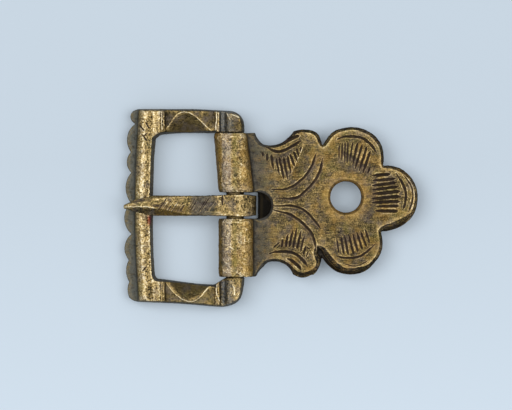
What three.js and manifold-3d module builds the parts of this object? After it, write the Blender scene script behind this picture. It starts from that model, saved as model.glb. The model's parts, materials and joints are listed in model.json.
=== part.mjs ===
// Cast copper-alloy strap buckle: a frame with its own round hinge bar, a pin wrapped
// round that bar, and a plate folded round it. Lengths are in millimetres. X runs along
// the strap towards the plate's tip, Y runs across the strap, and Z goes up from the table.
import * as THREE from 'three';
import { mergeVertices } from 'three/addons/utils/BufferGeometryUtils.js';
import Module from 'manifold-3d';

// Hinge: the bar of the frame, and the gap that lets the other two pieces turn on it
const barDiameter = 3;
const runningGap = 0.3;
const floorGap = 0.05;

// Opening of the frame, from the pin's centre line and the hinge axis
const openingUpper = 12.45;
const openingLower = 12.25;
const openingLength = 13.65;
const lowerSpread = 1.15;
const upperFillet = 1.4;
const lowerFillet = 0.5;
const gussetLength = 2;
const gussetRise = 1.15;
const openingDraft = 0.45;
const openingDraftHeight = 3.2;

// Section of the frame
const armWidth = 3.9;
const upperTaper = 0.3;
const armHeight = 4.2;
const mouldingDepth = 0.8;
const hingeReach = 1.6;
const hingeHeight = 4.4;
const hingeRise = 1.1;
const hingeChamfer = 0.7;
const upperEndRadius = 2.6;
const lowerEndRadius = 4;
const outerDraft = 0.4;
const outerDraftHeight = 2.2;
const rollWidth = 2.95;
const rollHeight = 4.1;
const rollDip = 0.3;
const lipReach = 2.25;
const lipThickness = 2.1;
const lipFall = 0.5;

// Half-moon scoop in each arm: its tilted bottom line breaks out at the land
const scoopRadius = 6.1;
const scoopLand = 0.6;
const scoopTilt = THREE.MathUtils.degToRad(30);
const upperScoopPlace = 8.3;
const lowerScoopPlace = 7.8;

// Plate: one sheet, with room for the strap between its leaves
const sheetThickness = 1;
const strapThickness = 1.7;
const filletRadius = 0.9;
const leafLength = 28.13;
const leafHalfWidth = 12.67;
const leafBevel = 0.25;
const rivetDiameter = 5.34;
const rivetPlace = 15.95;
const rivetOffset = 1.45;
const frontSlotReach = 6.2;
const backSlotReach = 3.9;

// Pin: a strip wrapped round the bar, drawn out into a thicker shaft
const pinWidth = 3.3;
const pinThickness = 0.95;
const pinSideGap = 0.6;
const loopSlack = 0.5;
const shaftStep = 0.05;
const shaftBelly = 0.45;
const pinReach = 18.9;

// One overrun serves every cut, and one step serves every arc
const overrun = 1;
const arcStep = THREE.MathUtils.degToRad(10);

// Radii and places that follow from the sizes above
const barRadius = barDiameter / 2;
const boreRadius = barRadius + runningGap;
const tubeRadius = boreRadius + sheetThickness;
const loopRadius = boreRadius + pinThickness;
const axisHeight = Math.max(tubeRadius, loopRadius + floorGap);
const hingeLower = openingLower + lowerSpread - gussetRise;
const frameUpper = openingUpper + armWidth;
const frameLower = openingLower + armWidth;
const rollFoot = openingLength + rollWidth;
const gussetStart = barRadius + gussetLength;
const seatHeight = rollHeight + runningGap;
const shaftTop = axisHeight + loopRadius - shaftStep;
const tubeUpper = openingUpper - runningGap;
const tubeLower = hingeLower - runningGap;
const slotHalfWidth = pinWidth / 2 + pinSideGap;
const backUnder = axisHeight - tubeRadius;
const backTop = backUnder + sheetThickness;
const frontUnder = backTop + strapThickness;
const frontTop = frontUnder + sheetThickness;

// The sheet leaves the tube where a fillet of its middle line meets the front leaf
const filletHeight = frontTop - sheetThickness / 2 + filletRadius;
const filletSpan = boreRadius + sheetThickness / 2 + filletRadius;
const leaveAngle = Math.asin((filletHeight - axisHeight) / filletSpan);
const leafStart = filletSpan * Math.cos(leaveAngle);

// Scallops of the lip, from the upper corner down: share of the frame's width, share of
// the lip's reach beyond the roll, and bow of the scallop that starts there
const scallopShares = [
  [0, -0.167, -0.42],
  [0.075, 0.176, -0.2],
  [0.223, 0.448, -0.22],
  [0.33, 0.424, -0.185],
  [0.49, 0.448, -0.225],
  [0.653, 0.424, -0.21],
  [0.79, 0.619, -0.135],
  [0.905, 0.58, -0.24],
  [1, 0.051, 0],
];

// Roll of the front bar: bow of its outer side, then the places of its crest, of the dip
// behind it and of the arms' start, as shares of its width from its foot
const rollBowShare = 0.2;
const crestShare = 0.42;
const dipShare = 0.72;
const armStartShare = 0.93;

// Bow of a quarter circle and of a half circle, as shares of their chords
const quarterBowShare = (Math.SQRT2 - 1) / 2;
const halfBowShare = 0.5;

// Mouldings across both arms, from the front bar to the hinge: share of the opening's
// length from the hinge axis, and share of the moulding's depth below the arm's top
const mouldingShares = [
  [0.934, 0.1],
  [0.923, 0.55],
  [0.912, 0.1],
  [0.897, 0.45],
  [0.883, 0.1],
  [0.857, 0.85],
  [0.799, 0.5],
  [0.615, 0],
  [0.381, 0.35],
  [0.264, 0.7],
  [0.234, 0.05],
  [0.216, 0.35],
  [0.198, 0.05],
  [0.176, 1],
  [0.132, 1],
  [0.095, 0.1],
];

// Front leaf, from the upper root round the petals to the lower root: share of its length
// past the tube, share of its half width, and bow of the side that starts there
const frontLeafShares = [
  [0.25, 1, 0.23],
  [0.4257, 0.797, 0.46],
  [0.79, 0.517, 0.217],
  [0.9967, 0.074, 0.21],
  [0.7776, -0.349, 0.443],
  [0.4186, -0.684, 0.295],
  [0.2466, -0.92, -0.42],
];
const upperRootShare = 0.006;
const upperBiteShare = -0.356;
const lowerRootShare = 0.023;

// Back leaf: share of the front leaf's length, share of its half width, and bow
const backLeafShares = [
  [0.074, 0.68, 0],
  [0.579, 0.584, 0.49],
  [0.589, -0.363, 0],
  [0.074, -0.63, 0],
];

// Shaft of the pin, from the hinge to the tip. Each row is a place along its reach, then
// across it the upper side, the upper edge of its flat top, the ridge and the lower side
// as shares of half its width. Last are the falls from its top to the upper and the lower
// side as shares of its thickness there, and the heights of its top and its underside
const shaftShares = [
  [-0.012, 1, 0.94, -0.9, -0.97, 0.08, 0.08, 0, 1],
  [0.27, 1, 0.94, -1, -1.06, 0.08, 0.06, 0, 1],
  [0.476, 1, 0.94, -0.8, -1.06, 0.12, 0.3, 0, 1],
  [0.684, 1.03, 0.76, -0.24, -1.06, 0.3, 0.6, 0.02, 1],
  [0.735, 1.03, 0.7, -0.18, -1.05, 0.36, 0.62, 0.09, 0],
  [0.804, 0.8, 0.5, -0.16, -0.88, 0.4, 0.6, 0.17, 0],
  [0.9, 0.6, 0.32, -0.15, -0.64, 0.45, 0.6, 0.39, 0.4],
  [0.963, 0.24, 0.08, -0.14, -0.4, 0.45, 0.55, 0.79, 1.4],
  [1, 0.07, 0, -0.16, -0.32, 0.4, 0.4, 1.2, 1.75],
];

const wasm = await Module();
wasm.setup();

// Points along a circle, both ends included
function arc(centreX, centreY, radius, from, to) {
  const steps = Math.ceil(Math.abs(to - from) / arcStep);
  return Array.from({ length: steps + 1 }, (_, i) => {
    const angle = from + (to - from) * i / steps;
    return new THREE.Vector2(centreX + radius * Math.cos(angle), centreY + radius * Math.sin(angle));
  });
}

// Points between two corners on an arc that bows to the left by a share of its chord
function bowedSide(from, to, bowShare) {
  const turn = 4 * Math.atan(2 * bowShare);
  const radiusShare = 1 / (2 * Math.sin(turn / 2));
  const left = new THREE.Vector2(from.y - to.y, to.x - from.x);
  const middle = from.clone().add(to).divideScalar(2);
  const centre = middle.addScaledVector(left, bowShare - radiusShare);
  const steps = Math.ceil(Math.abs(turn) / arcStep);
  return Array.from({ length: steps - 1 }, (_, i) => (
    from.clone().rotateAround(centre, -turn * (i + 1) / steps)
  ));
}

// A closed outline from rows of x, y and the bow of the side that starts there
function outline(corners) {
  const points = corners.map(([x, y]) => new THREE.Vector2(x, y));
  return points.flatMap((point, i) => {
    const bowShare = corners[i][2];
    const next = points[(i + 1) % points.length];
    return bowShare ? [point, ...bowedSide(point, next, bowShare)] : [point];
  });
}

// Any closed three.js geometry as a solid that can be joined and cut
function solid(geometry) {
  geometry.deleteAttribute('normal');
  geometry.deleteAttribute('uv');
  const merged = mergeVertices(geometry);
  return new wasm.Manifold(new wasm.Mesh({
    numProp: 3,
    vertProperties: merged.attributes.position.array,
    triVerts: Uint32Array.from(merged.index.array),
  }));
}

// A plan outline raised from one height to another; an inset draws both its ends in by
// that much over a run of height, and a negative one widens them
function upright(points, low, high, inset = 0, run = Math.abs(inset)) {
  const geometry = new THREE.ExtrudeGeometry(new THREE.Shape(points), {
    depth: high - low - 2 * run,
    bevelEnabled: run > 0,
    bevelThickness: run,
    bevelSize: inset,
    bevelOffset: -inset,
    bevelSegments: 1,
  });
  return solid(geometry.translate(0, 0, low + run));
}

// A side outline in X and Z carried across the strap
function across(points, from, to) {
  const geometry = new THREE.ExtrudeGeometry(new THREE.Shape(points), {
    depth: to - from,
    bevelEnabled: false,
  });
  return solid(geometry.rotateX(Math.PI / 2).translate(0, to, 0));
}

function cylinder(radius, length) {
  const sides = Math.ceil(2 * Math.PI / arcStep);
  return new THREE.CylinderGeometry(radius, radius, length, sides);
}

// A closed skin through rings of as many corners, with a flat cap at each end
function loft(rings) {
  const count = rings[0].length;
  const faces = [];
  for (let ring = 1; ring < rings.length; ring += 1) {
    for (let corner = 0; corner < count; corner += 1) {
      const a = (ring - 1) * count + corner;
      const b = (ring - 1) * count + (corner + 1) % count;
      faces.push(a, b, b + count, a, b + count, a + count);
    }
  }
  const last = (rings.length - 1) * count;
  for (let corner = 1; corner < count - 1; corner += 1) {
    faces.push(0, corner + 1, corner);
    faces.push(last, last + corner, last + corner + 1);
  }
  const geometry = new THREE.BufferGeometry().setFromPoints(rings.flat());
  return solid(geometry.setIndex(faces));
}

// Side view of the frame: lip, roll, moulded arm, and the end beyond the hinge axis
function frameSide() {
  const lipEdge = -rollFoot - lipReach;
  return outline([
    [lipEdge, 0],
    [lipEdge, lipThickness - lipFall],
    [-rollFoot, lipThickness, rollBowShare],
    [-rollFoot + crestShare * rollWidth, rollHeight],
    [-rollFoot + dipShare * rollWidth, rollHeight - rollDip],
    [-rollFoot + armStartShare * rollWidth, rollHeight],
    ...mouldingShares.map(([along, fall]) => [-along * openingLength, armHeight - fall * mouldingDepth]),
    [-hingeReach / 2, hingeHeight],
    [hingeReach - hingeChamfer, hingeHeight],
    [hingeReach, hingeHeight - hingeChamfer],
    [hingeReach, hingeRise],
    [-openingLength, 0],
  ]);
}

// Plan of the frame's outside: the scalloped lip on the left, rounded corners on the right
function frameOutside() {
  const height = frameUpper + frameLower;
  const lower = -frameLower - lowerSpread;
  const upperEnd = frameUpper - upperTaper;
  const scallops = scallopShares.map(([down, out, bow]) => [
    -rollFoot - out * lipReach,
    frameUpper - down * height,
    bow,
  ]);
  return outline([
    ...scallops,
    [hingeReach - lowerEndRadius, lower, -quarterBowShare],
    [hingeReach, lower + lowerEndRadius],
    [hingeReach, upperEnd - upperEndRadius, -quarterBowShare],
    [hingeReach - upperEndRadius, upperEnd],
    [-openingLength / 2, frameUpper],
  ]);
}

// Plan of the opening, from the front bar to the gusset
function frameOpening() {
  return outline([
    [-openingLength, openingUpper - upperFillet],
    [-openingLength, -openingLower + lowerFillet, -quarterBowShare],
    [-openingLength + lowerFillet, -openingLower],
    [-gussetStart, -openingLower - lowerSpread],
    [-gussetStart, openingUpper],
    [-openingLength + upperFillet, openingUpper, -quarterBowShare],
  ]);
}

// Plan of the room for the tubes, from the opening out past the hinge
function hingeRoom() {
  return outline([
    [-gussetStart - overrun, -openingLower],
    [-gussetStart, -openingLower - lowerSpread],
    [-barRadius, -hingeLower],
    [hingeReach + overrun, -hingeLower],
    [hingeReach + overrun, openingUpper],
    [-gussetStart - overrun, openingUpper],
  ]);
}

// A tilted round tool that scoops a half-moon out of an arm; side is 1 on the upper arm
function scoop(place, inner, side, turn) {
  const descent = (armWidth - scoopLand) / Math.cos(scoopTilt);
  const tool = cylinder(scoopRadius, descent + 2 * overrun);
  tool.translate(0, -descent / 2, scoopRadius);
  tool.rotateX(scoopTilt).translate(0, armWidth - scoopLand, armHeight);
  if (side < 0) tool.rotateZ(Math.PI);
  return solid(tool.rotateZ(turn).translate(-place, side * inner, 0));
}

function makeFrame() {
  const lowerTurn = -Math.atan(lowerSpread / openingLength);
  const lowerInner = openingLower + lowerSpread * (1 - lowerScoopPlace / openingLength);
  const barStart = -hingeLower - armWidth / 2;
  const barEnd = openingUpper + armWidth / 2;
  const bar = cylinder(barRadius, barEnd - barStart).translate(0, (barStart + barEnd) / 2, axisHeight);
  const body = upright(frameOutside(), -outerDraftHeight, hingeHeight, outerDraft, outerDraftHeight);
  const cutterTop = hingeHeight + openingDraft / 2;
  const cutterLow = -openingDraftHeight - overrun;
  return across(frameSide(), -frameLower - lowerSpread - overrun, frameUpper + overrun)
    .intersect(body)
    .subtract(upright(frameOpening(), cutterLow, cutterTop, -openingDraft, openingDraftHeight))
    .subtract(upright(hingeRoom(), -overrun, cutterTop))
    .add(solid(bar))
    .subtract(scoop(upperScoopPlace, openingUpper, 1, 0))
    .subtract(scoop(lowerScoopPlace, lowerInner, -1, lowerTurn));
}

// Side view of the sheet: out along the back leaf, round the bar and back as the front leaf
function sheetSide() {
  const end = leafStart + leafLength + leafHalfWidth;
  const below = 3 * Math.PI / 2;
  const meet = Math.PI + leaveAngle;
  return [
    new THREE.Vector2(end, backUnder),
    ...arc(0, axisHeight, tubeRadius, below, leaveAngle),
    ...arc(leafStart, filletHeight, filletRadius - sheetThickness / 2, meet, below).slice(1),
    new THREE.Vector2(end, frontTop),
    new THREE.Vector2(end, frontUnder),
    ...arc(leafStart, filletHeight, filletRadius + sheetThickness / 2, below, meet),
    ...arc(0, axisHeight, boreRadius, leaveAngle, below).slice(1),
    new THREE.Vector2(end, backTop),
  ];
}

// Plan of a leaf: its own corners between the two ends of the hinge tubes
function leafPlan(shares, upperShare, upperBow, lowerShare) {
  const corners = shares.map(([along, out, bow]) => [
    leafStart + along * leafLength,
    out * leafHalfWidth,
    bow,
  ]);
  return outline([
    [0, tubeUpper],
    [leafStart + upperShare * leafLength, tubeUpper, upperBow],
    ...corners,
    [leafStart + lowerShare * leafLength, -tubeLower],
    [0, -tubeLower],
  ]);
}

function slot(reach, roundEnd) {
  const start = -tubeRadius - overrun;
  const turn = roundEnd ? reach - slotHalfWidth : reach;
  return outline([
    [start, -slotHalfWidth],
    [turn, -slotHalfWidth, roundEnd ? -halfBowShare : 0],
    [turn, slotHalfWidth],
    [start, slotHalfWidth],
  ]);
}

function makePlate() {
  const width = leafHalfWidth + leafLength;
  const high = axisHeight + tubeRadius + overrun;
  const middle = backTop + strapThickness / 2;
  const tubes = upright(outline([
    [-tubeRadius - overrun, -tubeLower],
    [leafStart, -tubeLower],
    [leafStart, tubeUpper],
    [-tubeRadius - overrun, tubeUpper],
  ]), -overrun, high);
  const cover = leafBevel + sheetThickness / 4;
  const front = leafPlan(frontLeafShares, upperRootShare, upperBiteShare, lowerRootShare);
  const back = leafPlan(backLeafShares, 0, 0, 0);
  const plan = tubes
    .add(upright(front, backTop + cover, frontTop + sheetThickness / 4, cover))
    .add(upright(back, -overrun, middle));
  const rivet = cylinder(rivetDiameter / 2, 2 * high).rotateX(Math.PI / 2);
  return across(sheetSide(), -width, width)
    .intersect(plan)
    .subtract(upright(slot(frontSlotReach, true), middle, high))
    .subtract(upright(slot(backSlotReach, false), -overrun, high))
    .subtract(solid(rivet.translate(leafStart + rivetPlace, rivetOffset, 0)));
}

// Side view of the pin's loop: a strip from its free end round the bar to the shaft
function loopSide() {
  const below = 3 * Math.PI / 2;
  const above = 5 * Math.PI / 2;
  const endRise = seatHeight - shaftBelly - runningGap - axisHeight;
  const outerEnd = Math.PI - Math.asin(endRise / loopRadius);
  const innerEnd = Math.PI - Math.asin(endRise / boreRadius);
  return [
    ...arc(0, axisHeight, loopRadius, outerEnd, below),
    ...arc(loopSlack, axisHeight, loopRadius, below, above),
    new THREE.Vector2(0, axisHeight + loopRadius),
    new THREE.Vector2(0, axisHeight + boreRadius),
    ...arc(loopSlack, axisHeight, boreRadius, above, below),
    ...arc(0, axisHeight, boreRadius, below, innerEnd),
  ];
}

// Outline of the room that the pin leaves for the bar
function boreSide() {
  const low = axisHeight - boreRadius;
  const high = axisHeight + boreRadius;
  return outline([
    [0, low],
    [loopSlack, low, -halfBowShare],
    [loopSlack, high],
    [0, high, -halfBowShare],
  ]);
}

function makePin() {
  const half = pinWidth / 2;
  const rings = shaftShares.map(([along, upper, flat, ridge, lower, upperFall, lowerFall, top, under]) => {
    const x = -along * pinReach;
    const high = shaftTop - top * (shaftTop - seatHeight);
    const low = seatHeight - under * shaftBelly;
    return [
      new THREE.Vector3(x, lower * half, low),
      new THREE.Vector3(x, lower * half, high - lowerFall * (high - low)),
      new THREE.Vector3(x, ridge * half, high),
      new THREE.Vector3(x, flat * half, high),
      new THREE.Vector3(x, upper * half, high - upperFall * (high - low)),
      new THREE.Vector3(x, upper * half, low),
    ];
  });
  return across(loopSide(), -half, half)
    .add(loft(rings))
    .subtract(across(boreSide(), -pinWidth, pinWidth));
}

// A named piece, made from a finished solid
function piece(name, body, color, roughness) {
  const { vertProperties, triVerts } = body.getMesh();
  const geometry = new THREE.BufferGeometry();
  geometry.setAttribute('position', new THREE.BufferAttribute(vertProperties, 3));
  geometry.setIndex(new THREE.BufferAttribute(triVerts, 1));
  geometry.computeVertexNormals();
  const mesh = new THREE.Mesh(geometry, new THREE.MeshStandardMaterial({ color, roughness, metalness: 1 }));
  mesh.name = name;
  return mesh;
}

const buckle = new THREE.Group();
const assembly = new THREE.Group();
assembly.add(piece('frame', makeFrame(), '#8d7645', 0.42));
assembly.add(piece('pin', makePin(), '#96804c', 0.4));
assembly.add(piece('plate', makePlate(), '#86703f', 0.48));

// The origin is the middle of the buckle's footprint on the table
const bounds = new THREE.Box3().setFromObject(assembly);
const centre = bounds.getCenter(new THREE.Vector3());
assembly.position.set(-centre.x, -centre.y, -bounds.min.z);
buckle.add(assembly);

export default buckle;
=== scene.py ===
"""Cast strap buckle: a moulded frame with its pin and an engraved plate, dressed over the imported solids.

Lengths in the properties are metres. The meshes are worked in millimetres, because the
fine relief of a small casting needs a grid of a tenth of one, and are scaled back at the end.
"""
import json
import math

import bmesh
import bpy
from bpy.props import FloatProperty, FloatVectorProperty, PointerProperty
from mathutils import Matrix, Vector


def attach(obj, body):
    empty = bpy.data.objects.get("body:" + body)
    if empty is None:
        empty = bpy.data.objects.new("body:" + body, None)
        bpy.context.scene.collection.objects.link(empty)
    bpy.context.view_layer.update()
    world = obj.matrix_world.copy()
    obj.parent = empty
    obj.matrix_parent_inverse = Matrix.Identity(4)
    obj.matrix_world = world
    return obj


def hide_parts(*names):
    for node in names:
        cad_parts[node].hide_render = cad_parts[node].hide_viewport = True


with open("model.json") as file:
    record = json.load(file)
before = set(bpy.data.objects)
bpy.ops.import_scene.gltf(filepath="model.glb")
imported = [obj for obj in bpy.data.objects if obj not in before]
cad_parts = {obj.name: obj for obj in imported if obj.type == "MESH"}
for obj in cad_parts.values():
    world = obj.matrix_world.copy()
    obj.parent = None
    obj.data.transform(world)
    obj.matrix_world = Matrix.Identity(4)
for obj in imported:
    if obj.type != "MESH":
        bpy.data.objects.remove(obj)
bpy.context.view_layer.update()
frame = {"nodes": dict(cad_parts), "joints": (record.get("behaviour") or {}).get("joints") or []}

bl_info = {
    "name": "Strap Buckle",
    "version": (1, 0, 0),
    "blender": (4, 5, 0),
    "location": "View3D > Sidebar > Buckle",
    "description": "Dresses the frame, the pin and the plate of a cast strap buckle",
    "category": "Add Mesh",
}

MM = 0.001
# Middle of the rivet's hole and height of the front leaf's face, in millimetres
HOLE = (12.84, 1.92, 0)
LEAF_FACE = 3.7
# Place in plan, in millimetres, that lies at the middle of the picture
PICTURE_MIDDLE = (-2.46, 0.555)
# Half the table's side, and how far it lies under the buckle, so that no two faces share a plane
TABLE_HALF = 2.0
TABLE_DROP = 0.02 * MM
# The soft lamps: name, place, power in watts and side in metres. Both point at the buckle.
LAMPS = (
    ("left lamp", (-0.32, 0.1, 0.6), 2.45, 0.5),
    ("right lamp", (0.34, 0.01, 0.6), 2.1, 0.5),
)
SKY_STRENGTH = 0.44
# Share of the paper that the camera sees unlit
UNLIT_SHARE = 0.14

# Engraved strokes of the front leaf, in millimetres in plan: each starts fine, where the
# graver enters, widens and runs out to a point. A row is the stroke's width, then its points.
HATCHING = [
    # Fan of the upper wing
    (0.35, (-1.27, 8.83), (-1.34, 9.51)),
    (0.43, (-0.59, 8.03), (-0.56, 9.28)),
    (0.43, (0.50, 6.71), (0.12, 9.12)),
    (0.33, (1.55, 5.62), (1.21, 7.18), (0.94, 8.54)),
    (0.42, (2.30, 4.94), (1.89, 6.84), (1.45, 8.75)),
    (0.40, (2.91, 4.97), (2.55, 6.84), (2.23, 8.78)),
    (0.38, (3.46, 5.94), (3.22, 7.35), (2.88, 8.92)),
    (0.40, (4.10, 7.12), (3.73, 8.20), (3.32, 9.22)),
    (0.40, (4.61, 7.93), (4.24, 8.88), (3.90, 9.67)),
    (0.35, (4.85, 8.78), (4.58, 9.63), (4.41, 10.24)),
    (0.31, (5.07, 9.63), (5.22, 10.48)),
    # Fan of the lower wing
    (0.29, (1.59, -5.77), (1.01, -6.25), (0.46, -6.82)),
    (0.26, (1.65, -6.25), (1.11, -6.76)),
    (0.39, (2.13, -5.23), (1.87, -6.65)),
    (0.39, (3.05, -4.38), (2.81, -4.89), (2.61, -6.65)),
    (0.39, (3.83, -3.76), (3.49, -4.89), (3.22, -6.59)),
    (0.39, (4.48, -3.42), (4.14, -5.23), (3.83, -6.86)),
    (0.39, (5.22, -3.80), (4.78, -5.57), (4.48, -7.03)),
    (0.34, (5.77, -4.72), (5.39, -6.08), (5.07, -7.40)),
    (0.39, (6.04, -6.38), (5.78, -7.10), (5.55, -7.88)),
    (0.27, (6.48, -7.20), (6.01, -8.32)),
    (0.26, (6.75, -6.98), (6.14, -6.55)),
    # Upper petal
    (0.27, (11.62, 8.20), (11.68, 10.86)),
    (0.31, (12.13, 8.03), (12.19, 11.09)),
    (0.31, (12.60, 7.78), (12.70, 11.26)),
    (0.32, (13.04, 7.61), (13.21, 11.33)),
    (0.32, (13.49, 7.95), (13.72, 9.73), (14.06, 11.33)),
    (0.40, (14.00, 7.44), (14.37, 9.39), (14.88, 11.20)),
    (0.41, (14.44, 6.78), (15.02, 8.88), (15.64, 10.92)),
    (0.43, (15.12, 6.44), (15.76, 8.44), (16.41, 10.55)),
    (0.45, (15.75, 6.06), (16.39, 7.95), (16.99, 9.80)),
    (0.33, (16.51, 5.99), (16.92, 6.91)),
    (0.29, (17.63, 9.12), (17.60, 9.46)),
    # End petal
    (0.53, (17.43, 5.55), (18.79, 5.72), (20.35, 5.79)),
    (0.49, (17.43, 4.72), (19.30, 4.77), (21.24, 5.08)),
    (0.51, (17.34, 3.87), (19.30, 4.02), (21.48, 4.40)),
    (0.49, (17.43, 3.17), (19.64, 3.38), (21.75, 3.72)),
    (0.55, (17.43, 2.42), (19.81, 2.66), (22.05, 2.90)),
    (0.55, (17.43, 1.64), (19.81, 1.83), (22.12, 2.02)),
    (0.53, (17.33, 0.96), (19.64, 1.06), (22.05, 1.18)),
    (0.44, (17.94, 0.32), (19.98, 0.35), (21.95, 0.38)),
    (0.57, (18.01, -0.43), (19.81, -0.47), (21.65, -0.47)),
    # Lower petal
    (0.32, (11.24, -4.72), (11.41, -6.08), (11.62, -7.61)),
    (0.38, (11.96, -4.65), (12.16, -6.25), (12.55, -7.91)),
    (0.40, (12.57, -4.65), (12.87, -6.08), (13.26, -7.98)),
    (0.40, (13.28, -4.44), (13.69, -6.01), (14.17, -7.91)),
    (0.41, (14.03, -4.38), (14.44, -5.97), (14.88, -7.47)),
    (0.40, (14.71, -4.10), (15.19, -5.74), (15.63, -7.10)),
    (0.40, (15.34, -3.87), (15.85, -5.46), (16.38, -6.59)),
    (0.35, (16.05, -3.49), (16.48, -4.78), (16.89, -5.94)),
    (0.26, (9.27, -4.21), (10.26, -4.21)),
]
ARCS = [
    # Double arcs inside the two wings, from the slot outwards
    (0.42, (0.26, 3.21), (1.79, 3.10), (2.81, 3.27), (3.66, 3.67), (4.42, 4.12), (5.10, 4.69),
     (5.87, 5.38), (6.38, 6.06), (6.82, 6.84), (7.23, 7.69), (7.54, 8.58), (7.77, 9.46)),
    (0.42, (0.94, 1.74), (3.06, 1.54), (4.59, 1.81), (5.19, 2.22), (5.95, 2.97), (6.72, 3.68),
     (7.40, 4.46), (7.91, 5.31), (8.28, 6.06), (8.56, 6.84), (8.73, 7.69), (8.83, 8.54)),
    (0.44, (0.53, -0.26), (1.93, -0.67), (3.18, -0.94), (4.34, -1.62), (5.41, -2.44), (6.50, -3.53),
     (7.30, -4.78), (7.65, -6.11), (7.74, -7.27)),
    (0.40, (0.26, 0.42), (1.79, 0.35), (2.81, 0.49), (3.66, 0.44), (4.51, 0.23), (5.27, -0.06),
     (5.95, -0.52), (6.63, -1.11), (7.31, -1.88), (7.99, -2.76), (8.69, -3.56)),
    # Grooves that follow the wings' hollow sides
    (0.48, (-0.76, 10.48), (0.26, 9.90), (0.94, 9.63), (1.70, 9.63), (2.55, 9.94), (3.23, 10.28),
     (4.08, 10.75), (4.76, 11.23), (5.26, 11.50)),
    (0.51, (2.30, 11.16), (3.23, 11.60), (3.83, 11.94), (4.51, 12.32), (4.95, 12.32)),
    (0.48, (-0.22, -7.71), (0.50, -7.47), (1.48, -7.37), (2.47, -7.33), (3.27, -7.42), (4.07, -7.66),
     (4.61, -8.00), (5.16, -8.46), (5.68, -9.00), (6.09, -9.53), (6.28, -9.92)),
    (0.55, (2.89, -8.59), (3.42, -8.78), (4.00, -9.17), (4.61, -9.70), (5.00, -10.14), (5.24, -10.50)),
    # Rims of the petals
    (0.44, (11.41, 11.77), (12.07, 12.05), (12.87, 12.23), (14.05, 12.23), (15.20, 12.11),
     (15.75, 11.88), (16.27, 11.54), (16.73, 11.13), (17.17, 10.72), (17.60, 10.18), (17.95, 9.50)),
    (0.42, (21.30, 6.00), (21.85, 5.20), (22.31, 4.46), (22.75, 3.60), (22.97, 2.93), (23.03, 2.10),
     (22.97, 1.23), (22.78, 0.38), (22.50, -0.30)),
    (0.32, (22.60, 5.70), (22.95, 5.30), (23.40, 4.68), (23.80, 4.06), (24.05, 3.40), (24.18, 2.73),
     (24.20, 2.00), (24.10, 1.20), (23.80, 0.08), (23.30, -0.70)),
    (0.38, (17.70, -6.21), (17.06, -6.79), (16.51, -7.33), (15.97, -7.74), (15.44, -8.05),
     (14.90, -8.27), (13.55, -8.46), (11.85, -8.37), (11.17, -8.01)),
    (0.22, (11.99, -9.31), (13.52, -9.82), (14.88, -9.82), (15.73, -9.48), (16.66, -8.80)),
]
# Crests of the frame: rims of the scoops, mouldings across the arms, and the corners
FRAME_RIMS = [
    (0.34, (-18.00, 13.13), (-17.32, 13.98), (-16.66, 15.00), (-16.03, 15.75), (-15.41, 16.21),
     (-14.48, 16.40), (-13.56, 16.16), (-12.78, 15.62), (-12.01, 15.00), (-11.23, 14.24),
     (-10.47, 13.46), (-9.80, 12.96)),
    (0.26, (-18.58, 16.45), (-18.42, 15.31), (-18.51, 14.24), (-18.36, 13.30)),
    (0.19, (-18.19, 16.45), (-18.13, 13.92)),
    (0.34, (-9.23, 16.36), (-9.07, 15.16), (-9.38, 13.76), (-9.38, 12.96)),
    (0.20, (-8.77, 16.40), (-8.90, 15.17)),
    (0.41, (-7.45, 16.22), (-7.15, 15.60), (-6.85, 14.90)),
    (0.50, (-6.65, 15.90), (-5.90, 15.72), (-5.20, 15.35)),
    (0.34, (-17.83, -12.64), (-17.11, -13.50), (-16.33, -14.44), (-15.41, -15.20), (-14.48, -15.68),
     (-13.56, -15.90), (-12.63, -15.68), (-11.86, -15.05), (-11.23, -14.29), (-10.62, -13.50),
     (-10.16, -13.20), (-9.38, -13.05)),
    (0.24, (-18.36, -12.47), (-18.19, -14.13), (-18.27, -15.43)),
    (0.31, (-9.16, -13.05), (-9.23, -14.29), (-8.92, -15.20), (-8.46, -16.14), (-8.10, -16.34)),
    (0.44, (-6.46, -12.88), (-5.98, -14.13), (-6.13, -15.09)),
]
# Scratches across the roll's upper end
FRAME_SCRATCHES = [
    (0.3, (-22.4, 14.3), (-21.4, 13.1)),
    (0.26, (-21.2, 14.6), (-20.6, 13.6)),
    (0.3, (-21.9, 12.6), (-20.9, 11.4)),
    (0.26, (-20.9, 12.9), (-21.5, 12.2)),
    (0.3, (-21.0, -9.9), (-21.8, -10.8)),
]
# Arris along the tip, streaks that the file left bright, and the hollow facets beside them
PIN_RIDGE = [
    (0.31, (-24.56, 0.25), (-23.20, 0.23), (-21.67, 0.28), (-20.14, 0.15), (-19.12, -0.13)),
    (0.20, (-8.10, -0.70), (-11.13, -0.57)),
    (0.17, (-19.29, -0.38), (-18.27, 1.06)),
    (0.19, (-18.53, -0.47), (-17.42, 1.13)),
    (0.17, (-17.68, -0.50), (-16.57, 1.00)),
    (0.20, (-16.91, -0.64), (-15.72, 1.06)),
    (0.17, (-15.72, -0.74), (-14.70, 0.72)),
    (0.20, (-12.15, -0.81), (-10.96, 0.55)),
    (0.17, (-10.62, -0.64), (-9.26, 1.23)),
]
PIN_FACETS = [
    (1.02, (-19.97, 0.55), (-18.44, 0.32), (-16.74, -0.13), (-14.70, -0.57)),
    (0.85, (-23.71, 1.06), (-22.18, 1.30), (-20.14, 1.47)),
    (0.85, (-12.66, 0.89), (-11.13, 0.55), (-9.60, 0.89)),
]
# Edge of the strip that was hammered onto the pin's top
PIN_SEAM = [(0.34, (-8.2, 0.5), (-8.15, 2.2))]
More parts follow.
